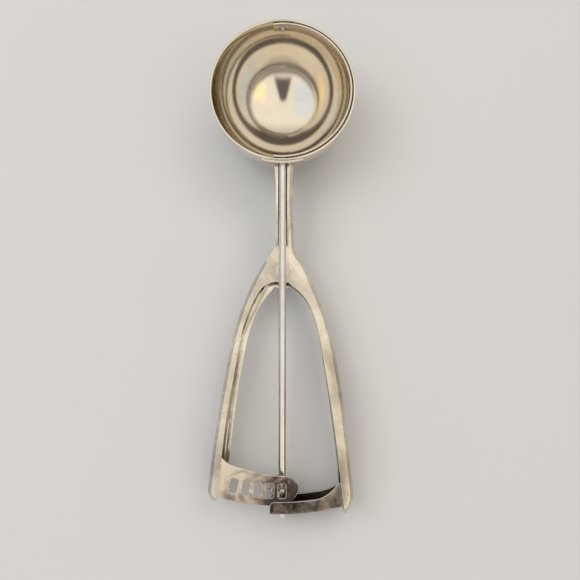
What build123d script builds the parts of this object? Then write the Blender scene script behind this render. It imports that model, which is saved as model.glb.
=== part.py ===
from build123d import *
import os
from math import acos, atan2, cos, degrees, pi, radians, sin, sqrt

os.makedirs("parts", exist_ok=True)

# Squeeze-handle ice cream scoop, in millimetres, lying on its back with the bowl's mouth up.
# +Y runs along the rod from the tail to the bowl's tip and +Z points out of the bowl's mouth.
# The origin is under the middle of the scoop, at the height of the bowl's lowest point.

# --- stock and fits
sheet = 1.0              # thickness of the pressed handle, lever and bracket
weld_gap = 0.05          # film of weld between two curved faces
running_gap = 0.05       # radial clearance of a turning fit
plate_gap = 0.1          # play between two plates that slide on each other

# --- bowl
bowl_r = 32.0            # outside radius of the hemisphere
bowl_wall = 1.0
rim_rise = 4.0           # straight band above the centre of the sphere
rim_round = 0.4

# --- rod, which runs along Y through the centre of the bowl
rod_r = 1.6
journal_r = 1.5          # turned-down tail of the rod
tail_chamfer = 0.4
rod_shoulder = 0.05      # how far the rod's front shoulder stands off the scraper
tail_beyond = 3.4        # rod's tail past the bracket

# --- distances along the rod, from the pivot
neck_length = 46.9       # pivot to the outside of the bowl
wheel_behind = 90.9      # pivot to the middle of the star wheel
neck_past_bowl = 4.1     # first station of the neck's outline, ahead of the bowl's wall
arm_past_wheel = 0.1     # last station of the right arm's outline, behind the star wheel

# --- tip pin
tip_pin_r = 1.0
tip_head_r = 2.2
tip_head_rise = 1.7
tip_inner_head_r = 1.4
tip_inner_head_rise = 1.1

# --- scraper strip
scraper_wall = 0.8
scraper_width = 5.6
scraper_rise = 1.0       # middle of the strip above the rod's axis, so that it lies level with the rim
scraper_gap = 0.5        # clearance to the bowl wall
scraper_tab = 4.0        # how far each end runs past the rod's axis
scraper_tab_round = 1.5
washer_wall = 0.3
washer_r = 2.5
tenon_r = 1.1            # rod's front end, peened over inside the scraper
peen_r = 1.8
peen_rise = 1.0

# --- bowl saddle
saddle_wall = 1.0
saddle_half_width = 9.5
saddle_top = 3.6         # above the rod's axis
saddle_low = -9.0
saddle_round = 0.8

# --- heights of the fixed handle above the rod's axis
neck_top = 0.6
ear_top = -2.2
arm_top = 9.0
handle_low = -12.6
arm_low = -8.0
arm_edge_round = 2.4     # outside bend radius of the arms

# --- neck trough, from the pivot
neck_left = 2.9          # outside of the left wall
neck_flare = 1.0         # how much wider the neck is at its very end
neck_slot_right = 2.0    # inner edge of the right lip
neck_wall_start = 10.6   # where the left wall begins
ramp_start = 24.0        # where the right lip starts to drop to the ear
ramp_end = 9.5

# --- arms: distance from the rod's axis to the outside of the arm, at stations from the pivot
neck_outside = [(5.9, 51.0), (5.2, 46.5), (4.4, 37.0), (4.4, 28.0), (5.0, 14.7), (5.9, 8.0)]
fixed_outside = [
    (8.5, 3.9), (12.3, -4.0), (16.0, -12.8), (21.4, -30.2), (24.9, -53.0), (27.0, -74.0), (28.7, -91.0),
]
fixed_inside = [
    (5.5, -8.0), (10.3, -13.0), (14.1, -21.7), (17.4, -38.6), (20.2, -58.0), (22.7, -78.3), (24.2, -93.0),
]
lever_outside = [
    (-7.6, 4.9), (-12.4, -3.9), (-16.4, -12.7), (-21.6, -30.2), (-25.3, -53.0), (-28.1, -74.0), (-30.0, -90.0),
]
lever_inside = [
    (-5.0, -5.35), (-8.9, -7.7), (-12.3, -12.9), (-15.9, -21.7), (-19.3, -38.6), (-22.2, -58.0), (-24.5, -78.5),
    (-25.4, -91.5),
]
lever_inside_low = [
    (-9.2, -13.5), (-13.0, -21.2), (-17.2, -38.8), (-20.2, -58.0), (-22.7, -80.0), (-24.6, -91.5),
]
arm_end_inset = 3.5      # the fixed arm's end curls in by this
arm_end_short = 0.2      # and stops this far before the back of the bracket
lever_end = (-26.7, -95.2)
slope_start = -12.0      # the upper flanges rise and the lower ones too, from here
slope_before_wheel = 12.9    # to this far ahead of the star wheel

# --- ear of the fixed handle and eye of the lever
ear_corner = (-7.1, 4.3)
ear_edge = (-5.6, -0.6)
ear_toe = (-2.6, -4.9)
ear_heel = (2.4, -5.3)
eye_r = 5.4              # upper plate of the lever
eye_low_r = 7.2          # lower plate of the lever
lever_web_top = (-3.5, 5.6)
lever_eye_join = (-2.4, -4.85)
lever_eye_join_low = (-3.5, -6.3)

# --- pivot
pivot_r = 2.0
pivot_head_r = 3.2
pivot_head_rise = 0.3
pivot_tail_r = 3.1
pivot_tail_rise = 1.1
sleeve_r = 3.0
pivot_washer_r = 4.2
pivot_washer_wall = 0.6

# --- spring strip
spring_wall = 0.6
spring_width = 4.4
spring_lift = 0.4        # middle of the strip above the middle of the lever's plates
spring_slack = 0.4       # between the bend and the sleeve
spring_long_end = (-20.1, -33.0)
spring_short_end = (14.2, -12.5)

# --- rack and star wheel
rack_teeth = 5           # windows
rack_pitch_deg = 3.09    # angle between two windows, seen from the pivot
rack_wall = 1.2
wheel_teeth = 8
wheel_wall = 1.2
tooth_half = 1.15
tooth_tip_half = 0.55
tooth_rise = 0.75        # above the pitch circle
tooth_shoulder = 0.36    # where the flanks start to lean in, above the pitch circle
tooth_root = 1.3         # below the pitch circle
window_width = 3.3
window_length = 5.8
window_round = 1.0
rack_low_web = 3.0       # from the windows to the plate's lower edge, an arc round the pivot
rack_upper = [(-24.1, 12.6), (-21.9, 10.8), (-16.9, 9.0), (-10.3, 7.2), (-4.5, 6.2), (1.9, 5.75)]
rack_right = [(1.9, 5.75), (4.46, 4.7), (5.87, 3.5), (6.72, 2.0), (6.75, 0.4), (6.15, -1.2), (4.05, -3.8)]
rack_heel_x = 0.5        # where the lower arc starts
rack_toe_x = -25.4       # and where it ends, inside the lever
rack_left = [(-27.4, 0.9), (-26.1, 13.3)]

# --- tail bracket
bracket_gap = 3.5        # from the star wheel's back to the bracket's flanges
bracket_depth = 5.0
bracket_left = -4.95
bracket_clear = 1.9      # from the bracket's end to the arm's wall
bracket_corner = 2.0
bracket_top = arm_top - sheet
bracket_low = arm_low + sheet
bracket_round = 1.4
bracket_gusset = [(12.7, 0.85), (16.7, 1.95), (19.7, 3.95), (22.6, 7.4)]    # ahead of the flanges' middle
bracket_gusset_low = [(17.5, 1.65), (20.5, 2.6), (23.5, 4.5)]    # and the lower flange's own line
clip_r = 2.3
clip_wall = 0.6
clip_groove = 0.35
clip_mouth = 2.0
tail_sleeve_r = 2.2


def along(points):
    """Stations of an outline, moved along the rod with the lengths of the neck and the arms."""
    return [(x, y * (neck_stretch if y > 0 else arm_stretch)) for x, y in points]


def behind(points, distance):
    """Points given from a place on the rod's axis behind the pivot."""
    return [(x, y - distance) for x, y in points]


# --- worked out from the above
rod_z = bowl_r
bowl_ahead = neck_length + bowl_r
nose_ahead = bowl_ahead + bowl_r + tip_head_rise
bracket_in_r = wheel_behind + wheel_wall / 2 + bracket_gap
bracket_out_r = bracket_in_r + bracket_depth
tail_behind = bracket_out_r + tail_beyond
pivot_y = (tail_behind - nose_ahead) / 2
neck_stretch = (neck_length + neck_past_bowl) / neck_outside[0][1]
arm_stretch = -(wheel_behind + arm_past_wheel) / fixed_outside[-1][1]
neck_outside, fixed_outside, fixed_inside = along(neck_outside), along(fixed_outside), along(fixed_inside)
lever_outside, lever_inside, lever_inside_low = along(lever_outside), along(lever_inside), along(lever_inside_low)
lever_end, spring_long_end, spring_short_end = along([lever_end, spring_long_end, spring_short_end])
slope_end = slope_before_wheel - wheel_behind
fixed_end = (fixed_outside[-1][0] - arm_end_inset, arm_end_short - bracket_out_r)
bracket_right = fixed_outside[-1][0] - sheet - bracket_clear
bracket_gusset, bracket_gusset_low = (behind(line, bracket_in_r) for line in (bracket_gusset, bracket_gusset_low))
rack_low_r = wheel_behind + window_length / 2 + rack_low_web
rack_upper, rack_right, rack_left = (behind(line, wheel_behind) for line in (rack_upper, rack_right, rack_left))
pitch_r = wheel_behind * radians(rack_pitch_deg) * wheel_teeth / (2 * pi)
rack_top = pitch_r + rack_wall / 2
lever_top = rack_top + sheet
lever_ear_top = ear_top - sheet - plate_gap
lever_ear_low = handle_low + sheet + plate_gap
lever_middle = (lever_ear_top + lever_ear_low) / 2
scraper_r = bowl_r - bowl_wall - scraper_gap
scraper_in_r = scraper_r - scraper_wall
saddle_r = bowl_r + weld_gap + saddle_wall
spring_low = lever_middle + spring_lift - spring_width / 2
spring_bend_r = sleeve_r + spring_slack
sleeve_top = lever_ear_top - sheet - running_gap
sleeve_low = lever_ear_low + sheet + running_gap
wheel_back = -wheel_behind - wheel_wall / 2
bracket_web_r = bracket_out_r - sheet
clip_front = -bracket_out_r - running_gap
reach = 2 * tail_behind  # longer than anything here, for cuts that go right through

pivot = Plane((0, pivot_y, rod_z))
side = Plane(origin=(0, pivot_y, rod_z), x_dir=(0, 1, 0), z_dir=(1, 0, 0))
front = Plane(origin=(0, pivot_y, rod_z), x_dir=(1, 0, 0), z_dir=(0, -1, 0))
bowl_centre = Plane((0, pivot_y + bowl_ahead, rod_z))
bowl_side = Plane(origin=bowl_centre.origin, x_dir=(0, 1, 0), z_dir=(1, 0, 0))
rod_axis = Axis((0, pivot_y, rod_z), (0, 1, 0))
pivot_axis = Axis((0, pivot_y, rod_z), (0, 0, 1))
bowl_axis = Axis(bowl_centre.origin, (0, 0, 1))


def across(y):
    """Plane square to the rod, at a distance from the pivot, facing the bowl's tip."""
    return Plane(origin=(0, pivot_y + y, rod_z), x_dir=(-1, 0, 0), z_dir=(0, 1, 0))


def shifted(points, dx):
    return [(x + dx, y) for x, y in points]


def inset(point, centre):
    """The point moved by one sheet's thickness towards a centre."""
    dx, dy = centre[0] - point[0], centre[1] - point[1]
    step = sheet / sqrt(dx * dx + dy * dy)
    return (point[0] + dx * step, point[1] + dy * step)


def arm_x(points, y):
    """Distance of an outline from the rod's axis at y, along straight lines between its stations."""
    for (x0, y0), (x1, y1) in zip(points, points[1:]):
        if y0 >= y >= y1:
            return x0 + (x1 - x0) * (y - y0) / (y1 - y0)
    return points[-1][0]


def near_outline(edge, points, tolerance=1.2):
    """True for an edge that runs along an arm's outside, and false for the upright ones."""
    low, high = edge.bounding_box().min, edge.bounding_box().max
    if high.Y - low.Y < tolerance:
        return False
    middle = edge.position_at(0.5)
    return abs(middle.X - arm_x(points, middle.Y - pivot_y)) < tolerance


def arm_profile(front_line, ear_level, end_level, back, end_low, ear_low):
    """Draws an arm seen from the side: level at the pivot, then rising to its end."""
    rise = Spline((slope_start, ear_level), (slope_end, end_level), tangents=[(-1, 0), (-1, 0)])
    Polyline(rise @ 1, (back, end_level), (back, end_low), (slope_end, end_low))
    Spline((slope_end, end_low), (slope_start, ear_low), tangents=[(1, 0), (1, 0)])
    Polyline((slope_start, ear_low), (front_line[0][0], ear_low), *front_line, rise @ 0)


def dome(base, r, rise):
    """Middle point of a rivet head's domed profile, along the axis and out from it."""
    ball_r = (r * r + rise * rise) / (2 * abs(rise))
    half = atan2(r, ball_r - abs(rise)) / 2
    along = abs(rise) - ball_r + ball_r * cos(half)
    return (base + (along if rise > 0 else -along), ball_r * sin(half))


def tangent_turn(end, r, way):
    """Direction, in degrees, of the point where a straight leg to the end leaves a bend round the pivot."""
    return degrees(atan2(end[1], end[0]) + way * acos(r / sqrt(end[0] ** 2 + end[1] ** 2))) % 360


# --- fixed handle: neck trough, ear plates and right arm, pressed from one sheet
with BuildPart() as handle_hollow:
    with BuildSketch(pivot.offset(handle_low)):
        with BuildLine():
            wall = Spline(*shifted(neck_outside + fixed_outside, -sheet))
            tip = TangentArc(wall @ 1, inset(fixed_end, fixed_inside[-1]), tangent=wall % 1)
            slot_left = sheet - neck_left
            Polyline(
                tip @ 1, tip @ 1 + tip % 1 * reach, (-reach, neck_wall_start), (slot_left, neck_wall_start),
                (slot_left, neck_outside[2][1]), (slot_left - neck_flare, neck_outside[0][1]), wall @ 0,
            )
        make_face()
    extrude(amount=arm_top - handle_low)
    with BuildSketch(side):
        with BuildLine():
            arm_profile(
                [(neck_outside[0][1], neck_top - sheet), (ramp_start, neck_top - sheet),
                 (ramp_end, ear_top - sheet)],
                ear_top - sheet, arm_top - sheet, fixed_end[1], arm_low + sheet, handle_low + sheet,
            )
        make_face()
    extrude(amount=reach, both=True, mode=Mode.INTERSECT)
    hollow_line = shifted(neck_outside + fixed_outside, -sheet)
    fillet(
        handle_hollow.edges().filter_by(lambda e: near_outline(e, hollow_line)),
        radius=arm_edge_round - sheet,
    )

with BuildPart() as fixed_handle:
    with BuildSketch(pivot.offset(handle_low - sheet)):
        with BuildLine():
            outside = Spline(*neck_outside, *fixed_outside)
            tip = TangentArc(outside @ 1, fixed_end, tangent=outside % 1)
            inside = Spline(*fixed_inside)
            Line(tip @ 1, inside @ 1)
            Line(inside @ 0, ear_heel)
            RadiusArc(ear_heel, ear_toe, eye_r + sheet / 4)
            ThreePointArc(ear_toe, ear_edge, ear_corner)
            Polyline(
                ear_corner, (-neck_left, neck_wall_start), (-neck_left, neck_outside[2][1]),
                (-neck_left - neck_flare, neck_outside[0][1]), outside @ 0,
            )
        make_face()
    extrude(amount=arm_top - handle_low + 2 * sheet)
    with BuildSketch(side):
        with BuildLine():
            arm_profile(
                [(neck_outside[0][1] + sheet, neck_top), (ramp_start, neck_top), (ramp_end, ear_top)],
                ear_top, arm_top, fixed_end[1] - sheet, arm_low, handle_low,
            )
        make_face()
    extrude(amount=bowl_r, both=True, mode=Mode.INTERSECT)
    handle_line = neck_outside + fixed_outside
    fillet(fixed_handle.edges().filter_by(lambda e: near_outline(e, handle_line)), radius=arm_edge_round)
    add(handle_hollow.part, mode=Mode.SUBTRACT)
    with BuildSketch(pivot.offset(handle_low + 2 * sheet)):
        with Locations(((neck_slot_right + slot_left) / 2, neck_wall_start)):
            Rectangle(neck_slot_right - slot_left, reach, align=(Align.CENTER, Align.MIN))
    extrude(amount=reach, mode=Mode.SUBTRACT)
    with BuildSketch(pivot.offset(handle_low - sheet)):
        Circle(pivot_r)
    extrude(amount=reach, mode=Mode.SUBTRACT)
    with Locations(bowl_centre):
        Sphere(saddle_r + weld_gap, mode=Mode.SUBTRACT)
        Cylinder(
            saddle_r + weld_gap, rim_rise, align=(Align.CENTER, Align.CENTER, Align.MIN), mode=Mode.SUBTRACT,
        )
fixed_handle.part.label = "fixed_handle"
export_step(fixed_handle.part, "parts/fixed_handle.step")

# --- lever: left arm with the two plates that sit between the ears
with BuildPart() as lever_hollow:
    with BuildSketch(pivot.offset(handle_low)):
        with BuildLine():
            wall = Spline(*shifted(lever_outside, sheet))
            tip = TangentArc(wall @ 1, inset(lever_end, lever_inside_low[-1]), tangent=wall % 1)
            lead = wall @ 0 - wall % 0 * bowl_r
            Polyline(tip @ 1, tip @ 1 + tip % 1 * reach, (reach, lead.Y), lead, wall @ 0)
        make_face()
    extrude(amount=arm_top - handle_low)
    with BuildSketch(side):
        with BuildLine():
            arm_profile(
                [(bowl_r, lever_ear_top - sheet)], lever_ear_top - sheet, lever_top - sheet,
                fixed_end[1], arm_low + sheet, lever_ear_low + sheet,
            )
        make_face()
    extrude(amount=reach, both=True, mode=Mode.INTERSECT)
    hollow_line = shifted(lever_outside, sheet)
    fillet(
        lever_hollow.edges().filter_by(lambda e: near_outline(e, hollow_line)),
        radius=arm_edge_round - sheet,
    )

with BuildPart() as lever:
    with BuildSketch(pivot.offset(handle_low)):
        with BuildLine():
            outside = Spline(*lever_outside)
            tip = TangentArc(outside @ 1, lever_end, tangent=outside % 1)
            inside = Spline(*lever_inside_low)
            Line(tip @ 1, inside @ 1)
            Polyline(inside @ 0, lever_eye_join_low, (0, 0), lever_web_top, outside @ 0)
        make_face()
        Circle(eye_low_r)
    extrude(amount=arm_top - handle_low)
    with BuildSketch(side):
        with BuildLine():
            arm_profile(
                [(bowl_r, lever_ear_top)], lever_ear_top, lever_top, fixed_end[1], arm_low, lever_ear_low,
            )
        make_face()
    extrude(amount=bowl_r, both=True, mode=Mode.INTERSECT)
    fillet(lever.edges().filter_by(lambda e: near_outline(e, lever_outside)), radius=arm_edge_round)
    add(lever_hollow.part, mode=Mode.SUBTRACT)
    with BuildSketch(pivot.offset(lever_middle)):
        with BuildLine():
            inside = Spline(*lever_inside)
            Polyline(
                inside @ 1, ((inside @ 1).X, -reach), (reach, -reach), (reach, reach), (lever_web_top[0], reach),
                lever_web_top, (0, 0), lever_eye_join, inside @ 0,
            )
        make_face()
        Circle(eye_r, mode=Mode.SUBTRACT)
    extrude(amount=reach, mode=Mode.SUBTRACT)
    with BuildSketch(pivot.offset(handle_low)):
        Circle(pivot_r + running_gap)
    extrude(amount=reach, mode=Mode.SUBTRACT)
lever.part.label = "lever"
export_step(lever.part, "parts/lever.step")

# --- rack plate: pressed plate with windows for the star wheel's teeth, under the lever's upper flange
with BuildPart() as rack_plate:
    with BuildSketch(pivot.offset(pitch_r - rack_wall / 2)):
        with BuildLine():
            upper = Spline(*rack_upper)
            right = Spline(*rack_right)
            heel = (rack_heel_x, -sqrt(rack_low_r**2 - rack_heel_x**2))
            toe = (rack_toe_x, -sqrt(rack_low_r**2 - rack_toe_x**2))
            Line(right @ 1, heel)
            RadiusArc(heel, toe, rack_low_r)
            Polyline(toe, *rack_left, upper @ 0)
        make_face()
        for tooth in range(rack_teeth):
            angle = -tooth * rack_pitch_deg
            centre = Vector(0, -wheel_behind).rotate(Axis.Z, angle)
            with Locations(Location((centre.X, centre.Y), angle)):
                RectangleRounded(window_width, window_length, window_round, mode=Mode.SUBTRACT)
    extrude(amount=rack_wall)
rack_plate.part.label = "rack_plate"
export_step(rack_plate.part, "parts/rack_plate.step")

# --- star wheel: small pinion pressed on the rod, its top tooth standing in a window
with BuildPart() as star_wheel:
    with BuildSketch(across(-wheel_behind)):
        Circle(pitch_r - tooth_root)
        with PolarLocations(0, wheel_teeth):
            Polygon(
                (0, -tooth_half), (pitch_r + tooth_shoulder, -tooth_half),
                (pitch_r + tooth_rise, -tooth_tip_half), (pitch_r + tooth_rise, tooth_tip_half),
                (pitch_r + tooth_shoulder, tooth_half), (0, tooth_half), align=None,
            )
        Circle(journal_r, mode=Mode.SUBTRACT)
    extrude(amount=wheel_wall / 2, both=True)
star_wheel.part.label = "star_wheel"
export_step(star_wheel.part, "parts/star_wheel.step")

# --- rod: turned at both ends, with its front end peened over inside the scraper
with BuildPart() as rod:
    with BuildSketch(side):
        with BuildLine():
            head = bowl_ahead - scraper_in_r + 2 * running_gap
            shoulder = bowl_ahead - scraper_r - rod_shoulder
            clip_back = clip_front - clip_wall
            peen = ThreePointArc((head, peen_r), dome(head, peen_r, peen_rise), (head + peen_rise, 0))
            Polyline(
                peen @ 1, (-tail_behind, 0), (-tail_behind, journal_r - tail_chamfer),
                (tail_chamfer - tail_behind, journal_r), (clip_back, journal_r),
                (clip_back, journal_r - clip_groove), (clip_front, journal_r - clip_groove),
                (clip_front, journal_r), (wheel_back + wheel_wall, journal_r),
                (wheel_back + wheel_wall, rod_r), (shoulder, rod_r), (shoulder, tenon_r), (head, tenon_r),
                peen @ 0,
            )
        make_face()
    revolve(axis=rod_axis)
rod.part.label = "rod"
export_step(rod.part, "parts/rod.step")

# --- spacer sleeve between the star wheel and the tail bracket
with BuildPart() as tail_sleeve:
    with BuildSketch(across(plate_gap - bracket_web_r)):
        Circle(tail_sleeve_r)
        Circle(journal_r, mode=Mode.SUBTRACT)
    extrude(amount=wheel_back + bracket_web_r - plate_gap)
tail_sleeve.part.label = "tail_sleeve"
export_step(tail_sleeve.part, "parts/tail_sleeve.step")

# --- open clip in the groove of the rod's tail, outside the bracket
with BuildPart() as tail_clip:
    with BuildSketch(across(clip_front - clip_wall)):
        Circle(clip_r)
        Circle(journal_r - clip_groove, mode=Mode.SUBTRACT)
        with Locations((0, clip_r)):
            Rectangle(clip_mouth, 2 * clip_r, mode=Mode.SUBTRACT)
    extrude(amount=clip_wall)
tail_clip.part.label = "tail_clip"
export_step(tail_clip.part, "parts/tail_clip.step")

# --- scraper: half-round strip inside the bowl, held by the rod at one end and the tip pin at the other
with BuildPart() as scraper:
    with BuildSketch(bowl_centre.offset(scraper_rise)):
        Circle(scraper_r)
        Circle(scraper_in_r, mode=Mode.SUBTRACT)
        with Locations((-scraper_tab, 0)):
            Rectangle(reach, reach, align=(Align.MAX, Align.CENTER), mode=Mode.SUBTRACT)
    extrude(amount=scraper_width / 2, both=True)
    corners = scraper.edges().filter_by(lambda e: e.length < scraper_wall + tip_pin_r)
    fillet(corners, radius=scraper_tab_round)
    with BuildSketch(across(bowl_ahead - bowl_r)):
        Circle(tenon_r)
    extrude(amount=bowl_r, mode=Mode.SUBTRACT)
    with BuildSketch(across(bowl_ahead)):
        Circle(tip_pin_r + running_gap)
    extrude(amount=bowl_r, mode=Mode.SUBTRACT)
scraper.part.label = "scraper"
export_step(scraper.part, "parts/scraper.step")

# --- washers between the scraper's two tabs and the wall of the bowl
with BuildPart() as neck_washer:
    with BuildSketch(across(bowl_ahead - scraper_r - rod_shoulder - washer_wall)):
        Circle(washer_r)
        Circle(rod_r, mode=Mode.SUBTRACT)
    extrude(amount=washer_wall)
neck_washer.part.label = "neck_washer"
export_step(neck_washer.part, "parts/neck_washer.step")

with BuildPart() as tip_washer:
    with BuildSketch(across(bowl_ahead + scraper_r + rod_shoulder)):
        Circle(washer_r)
        Circle(tip_pin_r, mode=Mode.SUBTRACT)
    extrude(amount=washer_wall)
tip_washer.part.label = "tip_washer"
export_step(tip_washer.part, "parts/tip_washer.step")

# --- bowl: spun hemisphere with a short straight band at the rim
with BuildPart() as bowl:
    with BuildSketch(bowl_side):
        with BuildLine():
            outer = CenterArc((0, 0), bowl_r, -90, 90)
            inner = CenterArc((0, 0), bowl_r - bowl_wall, -90, 90)
            Line(outer @ 0, inner @ 0)
            Polyline(outer @ 1, (bowl_r, rim_rise), (bowl_r - bowl_wall, rim_rise), inner @ 1)
        make_face()
    revolve(axis=bowl_axis)
    fillet(bowl.edges().group_by(Axis.Z)[-1], radius=rim_round)
    with BuildSketch(across(bowl_ahead - bowl_r - sheet)):
        Circle(rod_r + running_gap)
    extrude(amount=bowl_r, mode=Mode.SUBTRACT)
    with BuildSketch(across(bowl_ahead)):
        Circle(tip_pin_r)
    extrude(amount=bowl_r + sheet, mode=Mode.SUBTRACT)
bowl.part.label = "bowl"
export_step(bowl.part, "parts/bowl.step")

# --- bowl saddle: curved plate between the neck and the bowl
with BuildPart() as bowl_saddle:
    with Locations(bowl_centre):
        Sphere(saddle_r)
        Cylinder(saddle_r, bowl_r, align=(Align.CENTER, Align.CENTER, Align.MIN))
        Sphere(bowl_r + weld_gap, mode=Mode.SUBTRACT)
        Cylinder(
            bowl_r + weld_gap, bowl_r, align=(Align.CENTER, Align.CENTER, Align.MIN), mode=Mode.SUBTRACT,
        )
    with BuildSketch(across(bowl_ahead)):
        with Locations((0, (saddle_top + saddle_low) / 2)):
            RectangleRounded(2 * saddle_half_width, saddle_top - saddle_low, saddle_round)
        Circle(rod_r + running_gap, mode=Mode.SUBTRACT)
    extrude(amount=-2 * bowl_r, mode=Mode.INTERSECT)
bowl_saddle.part.label = "bowl_saddle"
export_step(bowl_saddle.part, "parts/bowl_saddle.step")

# --- tip pin: rivet through the bowl's front wall, on which the scraper's other end turns
with BuildPart() as tip_pin:
    with BuildSketch(side):
        with BuildLine():
            face = bowl_ahead + bowl_r
            inner_face = bowl_ahead + scraper_in_r - 2 * running_gap
            cap = ThreePointArc((face, tip_head_r), dome(face, tip_head_r, tip_head_rise), (nose_ahead, 0))
            Line(cap @ 1, (inner_face - tip_inner_head_rise, 0))
            button = ThreePointArc(
                (inner_face - tip_inner_head_rise, 0),
                dome(inner_face, tip_inner_head_r, -tip_inner_head_rise), (inner_face, tip_inner_head_r),
            )
            Polyline(button @ 1, (inner_face, tip_pin_r), (face, tip_pin_r), cap @ 0)
        make_face()
    revolve(axis=rod_axis)
tip_pin.part.label = "tip_pin"
export_step(tip_pin.part, "parts/tip_pin.step")

# --- tail bracket: curved channel welded inside the right arm, with the bearing for the rod's tail
with BuildPart() as tail_bracket:
    with BuildSketch(pivot.offset(bracket_low)):
        with BuildLine():
            corner_out = (bracket_left, -sqrt(bracket_out_r**2 - bracket_left**2))
            corner_in = (bracket_left, -sqrt(bracket_in_r**2 - bracket_left**2))
            far_out = (bracket_right, -sqrt(bracket_out_r**2 - bracket_right**2))
            RadiusArc(corner_out, far_out, -bracket_out_r)
            gusset = Spline(*bracket_gusset)
            Polyline(far_out, (bracket_right, (gusset @ 1).Y), gusset @ 1)
            RadiusArc(gusset @ 0, corner_in, bracket_in_r)
            Line(corner_in, corner_out)
        make_face()
    extrude(amount=bracket_top - bracket_low)
    uprights = tail_bracket.edges().filter_by(Axis.Z)
    fillet(
        uprights.sort_by_distance((bracket_left, pivot_y - bracket_in_r, rod_z))[0], radius=bracket_corner,
    )
    with BuildSketch(pivot.offset(bracket_low)):
        with BuildLine():
            gusset_low = Spline(gusset @ 0, *bracket_gusset_low)
            Polyline(
                gusset_low @ 1, (reach, (gusset_low @ 1).Y), (reach, 0), ((gusset_low @ 0).X, 0), gusset_low @ 0,
            )
        make_face()
    extrude(amount=(bracket_top - bracket_low) / 2, mode=Mode.SUBTRACT)
    bends = tail_bracket.edges().filter_by(
        lambda e: e.geom_type == GeomType.CIRCLE and e.radius > bracket_web_r
    )
    fillet(bends, radius=bracket_round)
    with Locations(pivot.offset((bracket_top + bracket_low) / 2)):
        Cylinder(bracket_web_r, bracket_top - bracket_low - 2 * sheet, mode=Mode.SUBTRACT)
    with BuildSketch(across(-bracket_out_r - sheet)):
        Circle(journal_r + running_gap)
    extrude(amount=bracket_corner + sheet, mode=Mode.SUBTRACT)
tail_bracket.part.label = "tail_bracket"
export_step(tail_bracket.part, "parts/tail_bracket.step")

# --- pivot rivet, with a washer under its closed end
with BuildPart() as pivot_rivet:
    with BuildSketch(front):
        with BuildLine():
            set_face = handle_low - pivot_washer_wall
            set_head = ThreePointArc(
                (0, set_face - pivot_tail_rise), dome(set_face, pivot_tail_r, -pivot_tail_rise)[::-1],
                (pivot_tail_r, set_face),
            )
            Polyline(
                set_head @ 1, (pivot_r, set_face), (pivot_r, ear_top), (pivot_head_r, ear_top),
                (pivot_head_r, ear_top + pivot_head_rise), (0, ear_top + pivot_head_rise), set_head @ 0,
            )
        make_face()
    revolve(axis=pivot_axis)
pivot_rivet.part.label = "pivot_rivet"
export_step(pivot_rivet.part, "parts/pivot_rivet.step")

with BuildPart() as pivot_washer:
    with BuildSketch(pivot.offset(handle_low - pivot_washer_wall)):
        Circle(pivot_washer_r)
        Circle(pivot_r, mode=Mode.SUBTRACT)
    extrude(amount=pivot_washer_wall)
pivot_washer.part.label = "pivot_washer"
export_step(pivot_washer.part, "parts/pivot_washer.step")

# --- pivot sleeve: keeps the lever's two plates apart and carries the spring
with BuildPart() as pivot_sleeve:
    with BuildSketch(pivot.offset(sleeve_low)):
        Circle(sleeve_r)
        Circle(pivot_r, mode=Mode.SUBTRACT)
    extrude(amount=sleeve_top - sleeve_low)
pivot_sleeve.part.label = "pivot_sleeve"
export_step(pivot_sleeve.part, "parts/pivot_sleeve.step")

# --- spring: flat strip bent over the sleeve, one leg against the lever and one against the handle
with BuildPart() as spring:
    with BuildSketch(pivot.offset(spring_low)):
        with BuildLine():
            line_r = spring_bend_r + spring_wall / 2
            long_turn = tangent_turn(spring_long_end, line_r, -1)
            short_turn = tangent_turn(spring_short_end, line_r, 1)
            bend = CenterArc((0, 0), line_r, short_turn, long_turn - short_turn)
            Line(bend @ 0, spring_short_end)
            Line(bend @ 1, spring_long_end)
        trace(line_width=spring_wall)
    extrude(amount=spring_width)
spring.part.label = "spring"
export_step(spring.part, "parts/spring.step")
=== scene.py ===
import math
import bmesh
import bpy
from mathutils import Matrix, Vector


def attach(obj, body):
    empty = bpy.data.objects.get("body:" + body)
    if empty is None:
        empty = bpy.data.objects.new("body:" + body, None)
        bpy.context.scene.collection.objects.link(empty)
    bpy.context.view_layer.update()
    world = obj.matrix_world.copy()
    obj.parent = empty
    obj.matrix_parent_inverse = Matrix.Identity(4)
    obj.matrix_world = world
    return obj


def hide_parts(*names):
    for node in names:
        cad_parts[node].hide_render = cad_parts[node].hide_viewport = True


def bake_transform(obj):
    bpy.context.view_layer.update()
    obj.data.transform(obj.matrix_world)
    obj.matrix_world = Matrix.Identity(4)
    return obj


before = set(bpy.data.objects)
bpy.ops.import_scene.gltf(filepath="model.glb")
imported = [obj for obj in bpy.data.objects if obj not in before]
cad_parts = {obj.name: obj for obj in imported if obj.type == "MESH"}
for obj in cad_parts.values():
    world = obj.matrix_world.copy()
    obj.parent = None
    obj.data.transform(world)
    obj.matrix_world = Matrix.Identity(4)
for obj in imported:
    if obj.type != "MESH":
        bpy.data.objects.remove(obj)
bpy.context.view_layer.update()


# --- Bowl
# A thin stainless cup, spun over a half ball with a short straight band at the mouth, polished inside and out.
# Its rim is rounded over, and the spinning leaves faint rings round its axis.
mm = 0.001
rod_height = 32 * mm
bowl_centre = Vector((0, 74.3 * mm, rod_height))
bowl_r = 32 * mm
bowl_wall = 1 * mm
rim_rise = 4 * mm
rim_round = 0.4 * mm
crease = 32


def arc(cx, cy, r, start, end, steps):
    """Points of an arc, with angles in degrees."""
    turns = [math.radians(start + (end - start) * i / steps) for i in range(steps + 1)]
    return [(cx + r * math.cos(a), cy + r * math.sin(a)) for a in turns]


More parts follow.
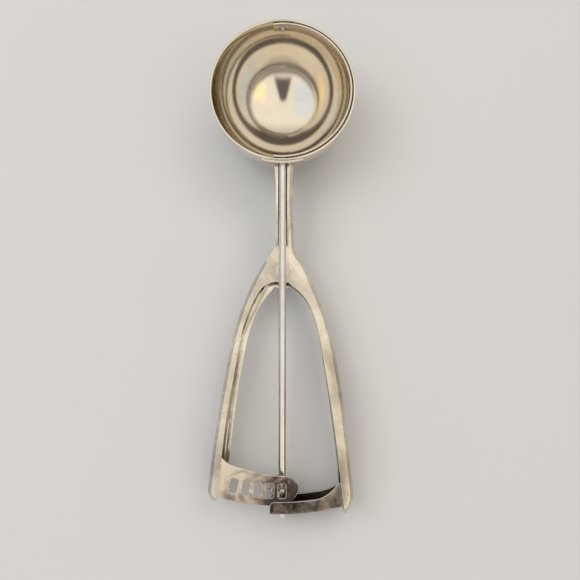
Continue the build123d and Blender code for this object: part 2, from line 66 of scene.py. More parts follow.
def turned(name, profile, centre, axis="Z", around=96):
    """Closed solid of revolution: profile points are (radius, distance along the axis) from the centre."""
    bm = bmesh.new()
    rings = []
    for r, along in profile:
        if r < 1e-7:
            rings.append([bm.verts.new((0, 0, along))])
            continue
        ring = []
        for i in range(around):
            a = 2 * math.pi * i / around
            ring.append(bm.verts.new((r * math.cos(a), r * math.sin(a), along)))
        rings.append(ring)
    closed = len(rings[0]) > 1
    pairs = list(zip(rings, rings[1:] + rings[:1])) if closed else list(zip(rings, rings[1:]))
    for low, high in pairs:
        for i in range(around):
            k = (i + 1) % around
            corners = [low[i % len(low)], low[k % len(low)], high[k % len(high)], high[i % len(high)]]
            corners = list(dict.fromkeys(corners))
            if len(corners) > 2:
                bm.faces.new(corners)
    bmesh.ops.recalc_face_normals(bm, faces=bm.faces)
    if axis == "Y":
        bm.transform(Matrix.Rotation(math.radians(-90), 4, "X"))
    bm.transform(Matrix.Translation(centre))
    return made(name, bm)


def shaded(bm, sharp):
    """Shades a bmesh smooth, but for the edges whose faces meet at more than the given degrees."""
    for edge in bm.edges:
        edge.smooth = len(edge.link_faces) != 2 or edge.calc_face_angle(0) < math.radians(sharp)
    for face in bm.faces:
        face.smooth = True


def made(name, bm, sharp=crease):
    """Puts a bmesh into the scene as a piece, shaded smooth with its creases kept."""
    shaded(bm, sharp)
    mesh = bpy.data.meshes.new(name)
    bm.to_mesh(mesh)
    bm.free()
    piece = bpy.data.objects.new(name, mesh)
    bpy.context.collection.objects.link(piece)
    return piece


def group(name, inputs, outputs):
    """An empty shader node group with the given sockets: returns the tree and the nodes at its two ends."""
    tree = bpy.data.node_groups.new(name, "ShaderNodeTree")
    for label, kind, value in inputs:
        socket = tree.interface.new_socket(name=label, in_out="INPUT", socket_type=kind)
        socket.default_value = value
    for label, kind in outputs:
        tree.interface.new_socket(name=label, in_out="OUTPUT", socket_type=kind)
    return tree, tree.nodes.new("NodeGroupInput"), tree.nodes.new("NodeGroupOutput")


def node(tree, kind, links=(), **settings):
    """Adds a node, links (socket, source) pairs into it, and sets its properties; in_3 is its fourth socket's value."""
    new = tree.nodes.new(kind)
    for key, value in settings.items():
        if key.startswith("in_"):
            new.inputs[int(key[3:])].default_value = value
        else:
            setattr(new, key, value)
    for socket, source in links:
        tree.links.new(source, new.inputs[socket])
    return new


def rounded_edges_group():
    """Where two faces of sheet metal meet: a mask along the edge, where steel is lightened for wear and painted
    highlight, and its rounded normal.
    """
    tree, start, end = group(
        "edge_wear_and_highlight", [("Width", "NodeSocketFloat", 0.0003)],
        [("Edge", "NodeSocketFloat"), ("Normal", "NodeSocketVector")],
    )
    bevel = node(tree, "ShaderNodeBevel", [("Radius", start.outputs["Width"])], samples=6)
    geometry = node(tree, "ShaderNodeNewGeometry")
    dot = node(
        tree, "ShaderNodeVectorMath", [(0, bevel.outputs[0]), (1, geometry.outputs["Normal"])],
        operation="DOT_PRODUCT",
    )
    mask = node(
        tree, "ShaderNodeMapRange", [(0, dot.outputs["Value"])],
        in_1=0.998, in_2=0.86, in_3=0.0, in_4=1.0, clamp=True,
    )
    tree.links.new(mask.outputs[0], end.inputs["Edge"])
    tree.links.new(bevel.outputs[0], end.inputs["Normal"])
    return tree


def grain_group():
    """The fine skin of rolled or tumbled steel: speckle, and scratches drawn out along one direction."""
    tree, start, end = group(
        "steel_grain",
        [("Size", "NodeSocketFloat", 1500.0), ("Direction", "NodeSocketVector", (1.0, 1.0, 1.0))],
        [("Speckle", "NodeSocketFloat"), ("Scratches", "NodeSocketFloat"), ("Height", "NodeSocketFloat")],
    )
    place = node(tree, "ShaderNodeTexCoord")
    speckle = node(
        tree, "ShaderNodeTexNoise", [("Vector", place.outputs["Object"]), ("Scale", start.outputs["Size"])],
        in_3=3.0, in_4=0.6,
    )
    drawn = node(
        tree, "ShaderNodeVectorMath", [(0, place.outputs["Object"]), (1, start.outputs["Direction"])],
        operation="MULTIPLY",
    )
    scratch = node(
        tree, "ShaderNodeTexNoise", [("Vector", drawn.outputs[0]), ("Scale", start.outputs["Size"])],
        in_3=4.0, in_4=0.65,
    )
    thin = node(
        tree, "ShaderNodeMapRange", [(0, scratch.outputs[0])], in_1=0.52, in_2=0.72, in_3=0.0, in_4=1.0, clamp=True,
    )
    height = node(tree, "ShaderNodeMath", [(0, speckle.outputs[0]), (1, thin.outputs[0])], operation="SUBTRACT")
    tree.links.new(speckle.outputs[0], end.inputs["Speckle"])
    tree.links.new(thin.outputs[0], end.inputs["Scratches"])
    tree.links.new(height.outputs[0], end.inputs["Height"])
    return tree


def handling_group():
    """Broad uneven patches left by hands, washing and polishing."""
    tree, start, end = group(
        "handling_marks", [("Size", "NodeSocketFloat", 60.0), ("Contrast", "NodeSocketFloat", 0.5)],
        [("Patches", "NodeSocketFloat")],
    )
    place = node(tree, "ShaderNodeTexCoord")
    broad = node(
        tree, "ShaderNodeTexNoise", [("Vector", place.outputs["Object"]), ("Scale", start.outputs["Size"])],
        in_3=5.0, in_4=0.55, in_8=0.6,
    )
    half = node(tree, "ShaderNodeMath", [(0, start.outputs["Contrast"])], operation="MULTIPLY", in_1=-0.5)
    low = node(tree, "ShaderNodeMath", [(0, half.outputs[0])], operation="ADD", in_1=0.5)
    patches = node(
        tree, "ShaderNodeMapRange", [(0, broad.outputs[0])], in_1=0.34, in_2=0.66, in_3=0.0, in_4=1.0, clamp=True,
    )
    scaled = node(
        tree, "ShaderNodeMath", [(0, patches.outputs[0]), (1, start.outputs["Contrast"]), (2, low.outputs[0])],
        operation="MULTIPLY_ADD",
    )
    tree.links.new(scaled.outputs[0], end.inputs["Patches"])
    return tree


edge_wear_and_highlight = rounded_edges_group()
steel_grain = grain_group()
handling_marks = handling_group()


def steel(name, dark, light, edge, rough, grain=1500.0, drawn=(1.0, 1.0, 1.0), patch=60.0, contrast=0.8,
          bump=0.05, edge_width=0.3 * mm, speckle=0.08, rings=None, painted_light_slope=None):
    """Bare steel: two tones in broad patches, edges lightened for wear and painted highlight, grain and scratches in
    its roughness and bump.

    rings is the centre of the rings that spinning leaves round Z. The slope, a direction with an offset, paints light
    and shade: the light tone wins as the place along the direction, plus the offset, grows.
    """
    scratch_roughness = 0.08
    relief_height = 0.1 * mm
    ring_fineness = 900.0
    material = bpy.data.materials.new(name)
    material.use_nodes = True
    tree = material.node_tree
    shader = tree.nodes["Principled BSDF"]
    shader.inputs["Metallic"].default_value = 1.0
    edges = node(tree, "ShaderNodeGroup", node_tree=edge_wear_and_highlight, in_0=edge_width)
    skin = node(tree, "ShaderNodeGroup", node_tree=steel_grain, in_0=grain, in_1=drawn)
    marks = node(tree, "ShaderNodeGroup", node_tree=handling_marks, in_0=patch, in_1=contrast)
    patches = marks.outputs[0]
    # Painted light and shade: the light tone grows along the slope's direction.
    if painted_light_slope:
        place = node(tree, "ShaderNodeTexCoord")
        along = node(
            tree, "ShaderNodeVectorMath", [(0, place.outputs["Object"])], operation="DOT_PRODUCT", in_1=painted_light_slope[0],
        )
        shifted = node(tree, "ShaderNodeMath", [(0, along.outputs["Value"])], operation="ADD", in_1=painted_light_slope[1])
        patches = node(
            tree, "ShaderNodeMath", [(0, patches), (1, shifted.outputs[0])], operation="ADD", use_clamp=True,
        ).outputs[0]
    tone = node(tree, "ShaderNodeMix", [(0, patches)], data_type="RGBA")
    tone.inputs[6].default_value = (*dark, 1)
    tone.inputs[7].default_value = (*light, 1)
    fleck = node(
        tree, "ShaderNodeMapRange", [(0, skin.outputs["Speckle"])],
        in_1=0.3, in_2=0.7, in_3=1.0 - speckle, in_4=1.0 + speckle,
    )
    grey = node(tree, "ShaderNodeCombineColor", [(k, fleck.outputs[0]) for k in range(3)])
    flecked = node(
        tree, "ShaderNodeMix", [(6, tone.outputs[2]), (7, grey.outputs[0])],
        data_type="RGBA", blend_type="MULTIPLY", in_0=1.0,
    )
    # Edges take the edge colour: part wear, part painted highlight.
    colour = node(
        tree, "ShaderNodeMix", [(0, edges.outputs["Edge"]), (6, flecked.outputs[2])], data_type="RGBA",
    )
    colour.inputs[7].default_value = (*edge, 1)
    tree.links.new(colour.outputs[2], shader.inputs["Base Color"])
    rubbed = node(
        tree, "ShaderNodeMapRange", [(0, marks.outputs[0])], in_1=0.0, in_2=1.0, in_3=rough[0], in_4=rough[1],
    )
    scored = node(
        tree, "ShaderNodeMath", [(0, skin.outputs["Scratches"]), (2, rubbed.outputs[0])],
        operation="MULTIPLY_ADD", in_1=scratch_roughness,
    )
    tree.links.new(scored.outputs[0], shader.inputs["Roughness"])
    height = skin.outputs["Height"]
    if rings:
        place = node(tree, "ShaderNodeTexCoord")
        centred = node(tree, "ShaderNodeMapping", [("Vector", place.outputs["Object"])], in_1=-rings)
        depth = node(tree, "ShaderNodeVectorMath", [(0, centred.outputs[0])], operation="MULTIPLY", in_1=(0, 0, 1))
        spun = node(
            tree, "ShaderNodeTexNoise", [("Vector", depth.outputs[0])], in_2=ring_fineness, in_3=3.0, in_4=0.7,
        )
        joined = node(tree, "ShaderNodeMath", [(0, spun.outputs[0]), (1, height)], operation="ADD")
        height = joined.outputs[0]
    relief = node(
        tree, "ShaderNodeBump", [("Height", height), ("Normal", edges.outputs["Normal"])],
        in_0=bump, in_1=relief_height,
    )
    tree.links.new(relief.outputs[0], shader.inputs["Normal"])
    return material


def finish(piece, body, material, record_slot, *nodes, bends=None):
    """Gives a piece its material and the body it rides on, or, when it bends, only bakes its place into its mesh; hides
    the CAD nodes that it stands for.
    """
    if material:
        piece.data.materials.clear()
        piece.data.materials.append(material)
    if bends:
        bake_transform(piece)
    else:
        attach(piece, body)
    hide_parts(*nodes)
    return piece


polished = steel(
    "polished_bowl_steel", dark=(0.70, 0.65, 0.56), light=(0.80, 0.75, 0.66), edge=(0.94, 0.91, 0.86),
    rough=(0.05, 0.11), grain=2600.0, patch=45.0, contrast=0.9, bump=0.012, edge_width=0.4 * mm, speckle=0.015,
    rings=bowl_centre,
)
cup = (
    arc(0, 0, bowl_r, -90, 0, 56)
    + arc(bowl_r - rim_round, rim_rise - rim_round, rim_round, 0, 90, 5)
    + arc(bowl_r - bowl_wall + rim_round, rim_rise - rim_round, rim_round, 90, 180, 5)
    + arc(0, 0, bowl_r - bowl_wall, 0, -90, 56)
)
bowl = turned("bowl_cup", cup, bowl_centre, around=192)
finish(bowl, "frame", polished, "polished_steel", "bowl")


# --- Bowl saddle
# A curved plate pressed to the bowl's outside and welded between it and the neck, with the rod through it.
# Pressed pieces keep their solid's shape: the triangles are merged and shaded smooth between creases.
def pressed(name, source):
    """A smooth copy of a CAD node's mesh as a piece of its own."""
    bm = bmesh.new()
    bm.from_mesh(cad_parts[source].data)
    bmesh.ops.remove_doubles(bm, verts=bm.verts, dist=2e-6)
    bmesh.ops.dissolve_degenerate(bm, dist=1e-6, edges=bm.edges)
    return made(name, bm, sharp=28)


saddle_steel = steel(
    "saddle_steel", dark=(0.52, 0.47, 0.41), light=(0.70, 0.65, 0.58), edge=(0.90, 0.87, 0.82),
    rough=(0.18, 0.3), grain=1800.0, patch=120.0, bump=0.05, edge_width=0.35 * mm,
)
finish(pressed("saddle_plate", "bowl_saddle"), "frame", saddle_steel, "satin_steel", "bowl_saddle")


# --- Fixed handle
# One stamping in stainless sheet: a trough under the rod, ears at the pivot and the right arm's channel.
# Tumbling after pressing leaves a satin skin with fine sparkle. Its brighter edges are part wear and part painted
# highlight, and its light tone is painted stronger the lower the sheet lies: painted light on the lower flange under
# the upper one, and painted shade on the higher parts.
handle_steel = steel(
    "satin_handle_steel", dark=(0.42, 0.385, 0.325), light=(0.80, 0.76, 0.665), edge=(0.95, 0.93, 0.88),
    rough=(0.12, 0.22), grain=1500.0, drawn=(1.0, 0.12, 1.0), patch=42.0, contrast=1.0, bump=0.10,
    edge_width=0.35 * mm, painted_light_slope=((0.0, 0.0, -26.0), 0.9),
)
finish(pressed("handle_stamping", "fixed_handle"), "frame", handle_steel, "satin_steel", "fixed_handle")


# --- Lever
# The left arm, pressed from the same stainless sheet and tumbled with it.
# Its two plates turn between the ears, on the pivot's rivet.
# Its brighter edges are part wear and part painted highlight, and its light tone is painted stronger the lower the
# sheet lies: painted light on its lower flange, and painted shade on the higher parts.
lever_steel = steel(
    "satin_lever_steel", dark=(0.42, 0.39, 0.34), light=(0.83, 0.79, 0.70), edge=(0.95, 0.93, 0.88),
    rough=(0.12, 0.22), grain=1500.0, drawn=(1.0, 0.12, 1.0), patch=38.0, contrast=1.0, bump=0.10,
    edge_width=0.35 * mm, painted_light_slope=((0.0, 0.0, -34.0), 1.2),
)
finish(pressed("lever_stamping", "lever"), "squeeze_lever", lever_steel, "satin_steel", "lever")


# --- Rack plate
# A flat plate with a row of punched windows, welded under the lever's flange.
# Tumbled steel. Its edges, the windows' rims among them, are lightened for wear and painted highlight. Its dark tone is
# a painted reflection of a dark overhead, lighter at the welded end and darker towards its free end.
rack_steel = steel(
    "rack_steel_painted_reflection", dark=(0.14, 0.114, 0.098), light=(0.82, 0.73, 0.62), edge=(0.98, 0.95, 0.90),
    rough=(0.12, 0.26), grain=1300.0, patch=150.0, contrast=0.9, bump=0.08, edge_width=0.5 * mm,
    painted_light_slope=((-36.0, 45.0, 0.0), 3.88),
)
finish(pressed("rack_windows", "rack_plate"), "squeeze_lever", rack_steel, "rack_steel", "rack_plate")


# --- Tail bracket
# A curved channel of tumbled sheet, welded inside the right arm's end.
# The rod's tail turns in a hole in its back.
# Its dark tone is a painted reflection of a dark overhead, painted lighter towards the arm's outer wall; its edges are
# lightened for wear and painted highlight.
bracket_steel = steel(
    "bracket_steel_painted_reflection", dark=(0.10, 0.082, 0.070), light=(0.52, 0.46, 0.40), edge=(0.98, 0.95, 0.90),
    rough=(0.12, 0.24), grain=1300.0, patch=150.0, contrast=0.9, bump=0.08, edge_width=0.5 * mm,
    painted_light_slope=((24.0, 0.0, 0.0), -0.4),
)
finish(pressed("bracket_channel", "tail_bracket"), "frame", bracket_steel, "rack_steel", "tail_bracket")


# --- Rod
# Drawn bright wire, with the lines of drawing along it, turned down to a journal at the tail and a tenon in front.
# The tenon is peened over inside the scraper. A groove near the tail's chamfered end holds the clip.
pivot_y = -4.6 * mm
rod_r = 1.6 * mm
journal_r = 1.5 * mm
groove_r = 1.15 * mm
tenon_r = 1.1 * mm
peen_r = 1.8 * mm
peen_rise = 1.0 * mm
tail_end = -103.4 * mm
groove_back = -100.65 * mm
groove_front = -100.05 * mm
journal_front = -90.35 * mm
tenon_back = 48.3 * mm
tenon_front = 49.3 * mm
rod_steel = steel(
    "drawn_rod_steel", dark=(0.62, 0.59, 0.55), light=(0.80, 0.78, 0.74), edge=(0.9, 0.88, 0.85),
    rough=(0.1, 0.18), grain=2200.0, drawn=(1.0, 0.01, 1.0), patch=30.0, contrast=0.7, bump=0.03,
)


def dome(base, r, rise, steps=8):
    """Profile of a rivet head, from its edge to its middle."""
    ball = (r * r + rise * rise) / (2 * abs(rise))
    side = 1 if rise > 0 else -1
    half = math.degrees(math.atan2(r, ball - abs(rise)))
    points = arc(0, 0, ball, 90 - half, 90, steps)
    return [(abs(x), base + side * (y - ball + abs(rise))) for x, y in points[:-1]] + [(0.0, base + rise)]


rod_profile = [
    (0.0, tail_end), (journal_r - 0.45 * mm, tail_end), (journal_r - 0.12 * mm, tail_end + 0.15 * mm),
    (journal_r, tail_end + 0.45 * mm), (journal_r, groove_back), (groove_r, groove_back), (groove_r, groove_front),
    (journal_r, groove_front), (journal_r, journal_front), (rod_r, journal_front + 0.1 * mm), (rod_r, tenon_back),
    (tenon_r, tenon_back + 0.05 * mm), (tenon_r, tenon_front),
] + dome(tenon_front, peen_r, peen_rise)
rod = turned("rod_wire", rod_profile, Vector((0, pivot_y, rod_height)), "Y", around=48)
finish(rod, "turning_rod", rod_steel, "rod_steel", "rod")


# --- Star wheel
# A small pinion pressed on the rod: a hub with teeth stamped all round it, each rounded at its corners.
# A node tree sets one tooth round the hub as many times as the wheel has teeth.
wheel_y = pivot_y - 90.9 * mm
wheel_teeth = 8
hub_r = 4.94 * mm
hub_half = 0.58 * mm
hub_round = 0.1 * mm
tooth_half = 1.15 * mm
tooth_root = 3.6 * mm
tooth_tip = 6.98 * mm
tooth_depth = 0.6 * mm


def made_by_nodes(piece, tree, **inputs):
    """Runs a geometry tree on a piece with the inputs given by name, and keeps the result as a plain mesh."""
    modifier = piece.modifiers.new("maker", "NODES")
    modifier.node_group = tree
    for item in tree.interface.items_tree:
        if item.in_out == "INPUT" and item.name in inputs:
            modifier[item.identifier] = inputs[item.name]
    evaluated = piece.evaluated_get(bpy.context.evaluated_depsgraph_get())
    mesh = bpy.data.meshes.new_from_object(evaluated)
    mesh.name = piece.name
    plain = bpy.data.objects.new(piece.name + "_mesh", mesh)
    bpy.context.collection.objects.link(plain)
    name = piece.name
    piece.modifiers.clear()
    bpy.data.objects.remove(piece)
    plain.name = name
    return plain


def ring_of_teeth():
    """Copies the incoming tooth round an axis along Y, from a named centre."""
    tree = bpy.data.node_groups.new("ring_of_teeth", "GeometryNodeTree")
    for label, kind in (("Tooth", "NodeSocketGeometry"), ("Teeth", "NodeSocketInt"), ("Centre", "NodeSocketVector"),
                        ("Finish", "NodeSocketMaterial")):
        tree.interface.new_socket(name=label, in_out="INPUT", socket_type=kind)
    tree.interface.new_socket(name="Wheel", in_out="OUTPUT", socket_type="NodeSocketGeometry")
    start, end = tree.nodes.new("NodeGroupInput"), tree.nodes.new("NodeGroupOutput")
    points = node(
        tree, "GeometryNodePoints", [("Count", start.outputs["Teeth"]), ("Position", start.outputs["Centre"])],
    )
    index = tree.nodes.new("GeometryNodeInputIndex")
    share = node(tree, "ShaderNodeMath", [(1, start.outputs["Teeth"])], operation="DIVIDE", in_0=2 * math.pi)
    turn = node(tree, "ShaderNodeMath", [(0, index.outputs[0]), (1, share.outputs[0])], operation="MULTIPLY")
    way = node(tree, "ShaderNodeCombineXYZ", [("Y", turn.outputs[0])])
    copies = node(
        tree, "GeometryNodeInstanceOnPoints",
        [("Points", points.outputs[0]), ("Instance", start.outputs["Tooth"]), ("Rotation", way.outputs[0])],
    )
    solid = node(tree, "GeometryNodeRealizeInstances", [(0, copies.outputs[0])])
    painted = node(
        tree, "GeometryNodeSetMaterial", [("Geometry", solid.outputs[0]), ("Material", start.outputs["Finish"])],
    )
    tree.links.new(painted.outputs[0], end.inputs[0])
    return tree


def plate(name, outline, low, high, plane="XZ", bevel=0.12 * mm):
    """A closed slab from an outline of (x, z) or (x, y) points between two depths, with small rounded edges."""
    bm = bmesh.new()
    lift = (lambda x, z, d: (x, d, z)) if plane == "XZ" else (lambda x, y, d: (x, y, d))
    lower = [bm.verts.new(lift(x, z, low)) for x, z in outline]
    upper = [bm.verts.new(lift(x, z, high)) for x, z in outline]
    bm.faces.new(lower)
    bm.faces.new(upper)
    for i in range(len(outline)):
        k = (i + 1) % len(outline)
        bm.faces.new((lower[i], lower[k], upper[k], upper[i]))
    bmesh.ops.recalc_face_normals(bm, faces=bm.faces)
    bmesh.ops.bevel(bm, geom=list(bm.edges), offset=bevel, segments=2, profile=0.6, affect="EDGES")
    return made(name, bm)


wheel_steel = steel(
    "wheel_steel", dark=(0.42, 0.38, 0.34), light=(0.66, 0.61, 0.55), edge=(0.93, 0.91, 0.87),
    rough=(0.18, 0.3), grain=1600.0, patch=200.0, bump=0.06, edge_width=0.2 * mm,
)
tooth_side = [
    (tooth_half, tooth_root), (tooth_half, tooth_tip - 0.53 * mm), (tooth_half - 0.25 * mm, tooth_tip - 0.18 * mm),
    (tooth_half - 0.65 * mm, tooth_tip),
]
tooth_outline = tooth_side + [(-x, z) for x, z in reversed(tooth_side)]
tooth = plate("star_teeth", tooth_outline, -tooth_depth, tooth_depth, bevel=0.1 * mm)
teeth = made_by_nodes(
    tooth, ring_of_teeth(), Teeth=wheel_teeth, Centre=(0, wheel_y, rod_height), Finish=wheel_steel,
)
finish(teeth, "turning_rod", None, "rack_steel", "star_wheel")
hub_profile = [
    (journal_r, -hub_half), (hub_r - hub_round, -hub_half), (hub_r, hub_round - hub_half),
    (hub_r, hub_half - hub_round), (hub_r - hub_round, hub_half), (journal_r, hub_half),
]
hub = turned("star_hub", hub_profile, Vector((0, wheel_y, rod_height)), "Y", around=64)
finish(hub, "turning_rod", wheel_steel, "rack_steel", "star_wheel")


# --- Tail sleeve and clip
# A cut length of steel tube keeps the wheel off the bracket.
# An open clip, snapped into the rod's groove, holds the tail in.
small_steel = steel(
    "turned_fitting_steel", dark=(0.50, 0.46, 0.41), light=(0.70, 0.66, 0.60), edge=(0.92, 0.90, 0.86),
    rough=(0.2, 0.34), grain=2000.0, patch=220.0, bump=0.05, edge_width=0.15 * mm,
)
finish(pressed("tail_tube", "tail_sleeve"), "turning_rod", small_steel, "rivet_steel", "tail_sleeve")
finish(pressed("tail_snap_clip", "tail_clip"), "turning_rod", small_steel, "rivet_steel", "tail_clip")


# --- Scraper
# A springy strip bent to a half round that sweeps the inside of the bowl, punched at both ends.
# A node tree sweeps the strip's rounded section along its line.
scraper_line_r = 30.1 * mm
scraper_width = 5.6 * mm
scraper_gauge = 0.8 * mm
scraper_tab = 4.0 * mm
scraper_spring_back = 0.15 * mm
scraper_middle = rod_height + 1.0 * mm


def swept_strip():
    """Sweeps a rounded rectangle along the incoming curve."""
    tree = bpy.data.node_groups.new("swept_strip", "GeometryNodeTree")
    for label, kind in (("Line", "NodeSocketGeometry"), ("Width", "NodeSocketFloat"), ("Thickness", "NodeSocketFloat"),
                        ("Rounding", "NodeSocketFloat"), ("Finish", "NodeSocketMaterial")):
        tree.interface.new_socket(name=label, in_out="INPUT", socket_type=kind)
    tree.interface.new_socket(name="Strip", in_out="OUTPUT", socket_type="NodeSocketGeometry")
    start, end = tree.nodes.new("NodeGroupInput"), tree.nodes.new("NodeGroupOutput")
    section = node(
        tree, "GeometryNodeCurvePrimitiveQuadrilateral",
        [("Width", start.outputs["Thickness"]), ("Height", start.outputs["Width"])],
    )
    softened = node(
        tree, "GeometryNodeFilletCurve", [("Curve", section.outputs[0]), ("Radius", start.outputs["Rounding"])],
        mode="POLY",
    )
    softened.inputs["Count"].default_value = 3
    swept = node(
        tree, "GeometryNodeCurveToMesh", [("Curve", start.outputs["Line"]), ("Profile Curve", softened.outputs[0])],
    )
    swept.inputs["Fill Caps"].default_value = True
    solid = node(tree, "GeometryNodeRealizeInstances", [(0, swept.outputs[0])])
    painted = node(
        tree, "GeometryNodeSetMaterial", [("Geometry", solid.outputs[0]), ("Material", start.outputs["Finish"])],
    )
    tree.links.new(painted.outputs[0], end.inputs[0])
    return tree


def curve(name, points):
    """An open curve through points at one height, on which a swept strip stands upright."""
    data = bpy.data.curves.new(name, "CURVE")
    data.dimensions = "3D"
    data.twist_mode = "Z_UP"
    spline = data.splines.new("POLY")
    spline.points.add(len(points) - 1)
    for point, place in zip(spline.points, points):
        point.co = (*place, 1)
    piece = bpy.data.objects.new(name, data)
    bpy.context.collection.objects.link(piece)
    return piece


def tidied(piece, sharp=30):
    """Turns the faces of a swept piece outwards and shades it smooth between its creases."""
    bm = bmesh.new()
    bm.from_mesh(piece.data)
    bmesh.ops.remove_doubles(bm, verts=bm.verts, dist=1e-6)
    bmesh.ops.recalc_face_normals(bm, faces=bm.faces)
    shaded(bm, sharp)
    bm.to_mesh(piece.data)
    bm.free()
    return piece


strip_tree = swept_strip()
past = math.degrees(math.asin(scraper_tab / scraper_line_r))
half_round = []
for x, y in arc(0, 0, 1, -90 - past, 90 + past, 120):
    r = scraper_line_r + 2 * x * y * scraper_spring_back
    half_round.append((bowl_centre.x + r * x, bowl_centre.y + r * y, scraper_middle))
scraper_steel = steel(
    "scraper_steel", dark=(0.60, 0.55, 0.49), light=(0.78, 0.73, 0.66), edge=(0.94, 0.92, 0.88),
    rough=(0.12, 0.24), grain=1800.0, drawn=(0.2, 0.2, 1.0), patch=70.0, bump=0.04, edge_width=0.25 * mm,
)
scraper = made_by_nodes(
    curve("scraper_strip", half_round), strip_tree,
    Width=scraper_width, Thickness=scraper_gauge, Rounding=0.15 * mm, Finish=scraper_steel,
)
finish(tidied(scraper), "turning_rod", None, "polished_steel", "scraper")


# --- Washers and tip pin
# Thin steel washers keep the strip's ends off the bowl's wall.
# The front end turns on a rivet through the wall, domed outside and closed over inside.
finish(pressed("neck_thrust_washer", "neck_washer"), "turning_rod", small_steel, "rivet_steel", "neck_washer")
finish(pressed("tip_thrust_washer", "tip_washer"), "frame", small_steel, "rivet_steel", "tip_washer")
tip_face = bowl_centre.y + bowl_r - pivot_y
tip_inner_face = tip_face - 2.4 * mm
tip_shank_r = 1.0 * mm
tip_head_r = 2.2 * mm
tip_head_rise = 1.7 * mm
tip_closed_r = 1.4 * mm
tip_closed_rise = 1.1 * mm
tip_profile = (
    dome(tip_inner_face, tip_closed_r, -tip_closed_rise)[::-1]
    + [(tip_shank_r, tip_inner_face), (tip_shank_r, tip_face)]
    + dome(tip_face, tip_head_r, tip_head_rise)
)
tip_pin = turned("tip_rivet", tip_profile, Vector((0, pivot_y, rod_height)), "Y", around=48)
finish(tip_pin, "frame", small_steel, "rivet_steel", "tip_pin")


# --- Pivot
# A steel rivet through both ears and both plates of the lever, closed over a washer on the back.
# A sleeve round it keeps the plates apart and carries the spring. Heights are from the rod's axis.
pivot_shank_r = 2.0 * mm
pivot_head_r = 3.2 * mm
pivot_head_top = -1.9 * mm
pivot_head_under = -2.2 * mm
pivot_washer_face = -13.2 * mm
pivot_closed_r = 3.1 * mm
pivot_closed_rise = 1.1 * mm
pivot_profile = dome(pivot_washer_face, pivot_closed_r, -pivot_closed_rise)[::-1] + [
    (pivot_shank_r, pivot_washer_face), (pivot_shank_r, pivot_head_under), (pivot_head_r, pivot_head_under),
    (pivot_head_r, pivot_head_top - 0.15 * mm), (pivot_head_r - 0.15 * mm, pivot_head_top - 0.03 * mm),
    (pivot_head_r - 0.5 * mm, pivot_head_top), (0.0, pivot_head_top),
]
pivot = turned("pivot_rivet_turned", pivot_profile, Vector((0, pivot_y, rod_height)), around=64)
finish(pivot, "frame", small_steel, "rivet_steel", "pivot_rivet")
finish(pressed("pivot_back_washer", "pivot_washer"), "frame", small_steel, "rivet_steel", "pivot_washer")
finish(pressed("pivot_tube", "pivot_sleeve"), "frame", small_steel, "rivet_steel", "pivot_sleeve")


# --- Spring
# A flat strip of spring steel bent over the sleeve, one leg on the lever's wall and one on the right arm's.
# Places are in millimetres from the pivot.
spring_line_r = 3.7
spring_middle = rod_height - 7.0 * mm
spring_width = 4.4 * mm
spring_gauge = 0.6 * mm
long_end = (-20.1, -33.0)
short_end = (14.2, -12.5)


def leaving(end, way):
    """Angle, in degrees, at which a straight leg to the end leaves the bend."""
    return math.degrees(
        math.atan2(end[1], end[0]) + way * math.acos(spring_line_r / math.hypot(*end))
    ) % 360


bend = arc(0, 0, spring_line_r, leaving(short_end, 1), leaving(long_end, -1), 24)
spring_line = [(x * mm, pivot_y + y * mm, spring_middle) for x, y in [short_end, *bend, long_end]]
spring_steel = steel(
    "spring_steel", dark=(0.46, 0.43, 0.38), light=(0.70, 0.66, 0.58), edge=(0.92, 0.89, 0.83),
    rough=(0.16, 0.3), grain=1700.0, drawn=(1.0, 0.1, 1.0), patch=90.0, bump=0.05, edge_width=0.15 * mm,
)
spring = made_by_nodes(
    curve("spring_strip", spring_line), strip_tree,
    Width=spring_width, Thickness=spring_gauge, Rounding=0.12 * mm, Finish=spring_steel,
)
bend_start = (2.5 * mm, pivot_y, spring_middle)
bend_end = (-4.5 * mm, pivot_y - 4.0 * mm, spring_middle)
finish(tidied(spring), "frame", None, "spring_steel", "spring", bends=("squeeze_lever", bend_start, bend_end))


# --- Table, light and camera
# A pale matt table that touches the bowl's bottom and the ends of the arms, so it slopes down towards the bowl.
# Two broad lamps light it, in a plain room that polished steel mirrors.
table_slope = math.radians(7.8)
table_offset = 9.79 * mm
table_half = 12.0
bm = bmesh.new()
for corner_x, corner_y in ((-1, -1), (1, -1), (1, 1), (-1, 1)):
    x, y = corner_x * table_half, corner_y * table_half
    z = (table_offset - y * math.sin(table_slope)) / math.cos(table_slope)
    bm.verts.new((x, y, z))
bm.faces.new(bm.verts)
table = made("table", bm)
paper = bpy.data.materials.new("pale_table")
paper.use_nodes = True
paper_shader = paper.node_tree.nodes["Principled BSDF"]
paper_shader.inputs["Base Color"].default_value = (0.60, 0.61, 0.63, 1)
paper_shader.inputs["Roughness"].default_value = 0.85
paper_shader.inputs["Specular IOR Level"].default_value = 0.2
table.data.materials.append(paper)

world = bpy.data.worlds.new("soft_room")
bpy.context.scene.world = world
world.use_nodes = True
sky = world.node_tree
backdrop = sky.nodes["Background"]
split = node(sky, "ShaderNodeSeparateXYZ", [(0, node(sky, "ShaderNodeTexCoord").outputs["Generated"])])
across_room, along_room, up = split.outputs


def fade(value, start, end):
    """Smooth step of a direction's component."""
    return node(
        sky, "ShaderNodeMapRange", [(0, value)], interpolation_type="SMOOTHSTEP", clamp=True,
        in_1=start, in_2=end, in_3=0.0, in_4=1.0,
    ).outputs[0]


def both(first, second):
    """Mask that is one where both masks are."""
    return node(sky, "ShaderNodeMath", [(0, first), (1, second)], operation="MULTIPLY").outputs[0]


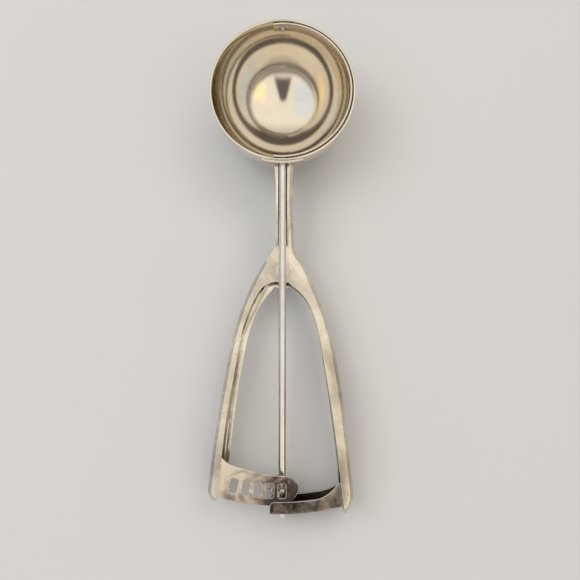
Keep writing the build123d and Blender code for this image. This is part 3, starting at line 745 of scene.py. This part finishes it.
def wash(under, mask, colour):
    """Lays a colour over the room where the mask is one."""
    mixed = node(sky, "ShaderNodeMix", [(0, mask), (6, under)], data_type="RGBA")
    mixed.inputs[7].default_value = (*colour, 1)
    return mixed.outputs[2]


plain = node(sky, "ShaderNodeRGB").outputs[0]
plain.default_value = (0.99, 0.91, 0.80, 1)
# The walls before and behind are dimmer than the ceiling.
room = wash(plain, fade(along_room, -0.76, -0.88), (0.46, 0.40, 0.34))
room = wash(room, fade(along_room, 0.45, 0.70), (0.74, 0.66, 0.56))
# A cool window stands on one side and a warm one on the other.
cool = both(fade(across_room, -0.26, -0.42), both(fade(along_room, -0.70, -0.48), fade(along_room, 0.40, 0.16)))
room = wash(room, cool, (0.84, 0.88, 0.92))
warm = both(fade(across_room, 0.42, 0.60), both(fade(along_room, -0.68, -0.48), fade(along_room, 0.04, -0.20)))
room = wash(room, warm, (1.30, 1.08, 0.70))
# A dark hood hangs overhead, narrower at its near end.
sideways = node(sky, "ShaderNodeMath", [(0, across_room)], operation="ABSOLUTE").outputs[0]
narrowing = node(
    sky, "ShaderNodeMath", [(0, along_room), (2, sideways)], operation="MULTIPLY_ADD", in_1=0.3,
).outputs[0]
shade = both(fade(narrowing, 0.09, -0.03), both(fade(along_room, -0.08, -0.26), fade(along_room, -0.84, -0.66)))
room = wash(room, shade, (0.15, 0.13, 0.12))
# A dark band runs round the room, then a light one and the dimmer foot of the walls.
room = wash(room, fade(up, 0.62, 0.48), (0.30, 0.27, 0.24))
room = wash(room, fade(up, 0.38, 0.28), (0.74, 0.75, 0.77))
room = wash(room, fade(up, 0.26, 0.12), (0.56, 0.545, 0.52))
sky.links.new(room, backdrop.inputs["Color"])
backdrop.inputs["Strength"].default_value = 1.14


def lamp(name, place, aim, size, power, colour):
    """A square soft lamp at a place, turned towards a point."""
    data = bpy.data.lights.new(name, "AREA")
    data.shape = "RECTANGLE"
    data.size, data.size_y = size
    data.energy = power
    data.color = colour
    light = bpy.data.objects.new(name, data)
    bpy.context.collection.objects.link(light)
    light.location = place
    light.rotation_euler = (Vector(aim) - Vector(place)).to_track_quat("-Z", "Y").to_euler()
    light.visible_glossy = False


lamp("window", (-0.62, 0.30, 1.05), (0, 0, 0.03), (0.7, 0.9), 4.0, (1.0, 0.99, 0.98))
lamp("ceiling", (0.45, 0.75, 1.0), (0, 0, 0.03), (0.8, 0.5), 2.0, (1.0, 0.95, 0.88))

view_tilt = math.radians(5.684)
camera_data = bpy.data.cameras.new("camera")
camera_data.sensor_fit = "HORIZONTAL"
frame_px = 580.0
focal_px = 593.0
camera_data.sensor_width = 36.0
camera_data.lens = camera_data.sensor_width * focal_px / frame_px
camera_data.clip_start = 0.01
camera = bpy.data.objects.new("camera", camera_data)
bpy.context.collection.objects.link(camera)
camera.location = (3.25 * mm, -38.6 * mm, 284.4 * mm)
camera.rotation_euler = (view_tilt, 0, 0)
bpy.context.scene.camera = camera
bpy.context.scene.view_settings.view_transform = "Standard"
bpy.context.scene.cycles.max_bounces = 20
bpy.context.scene.cycles.glossy_bounces = 16
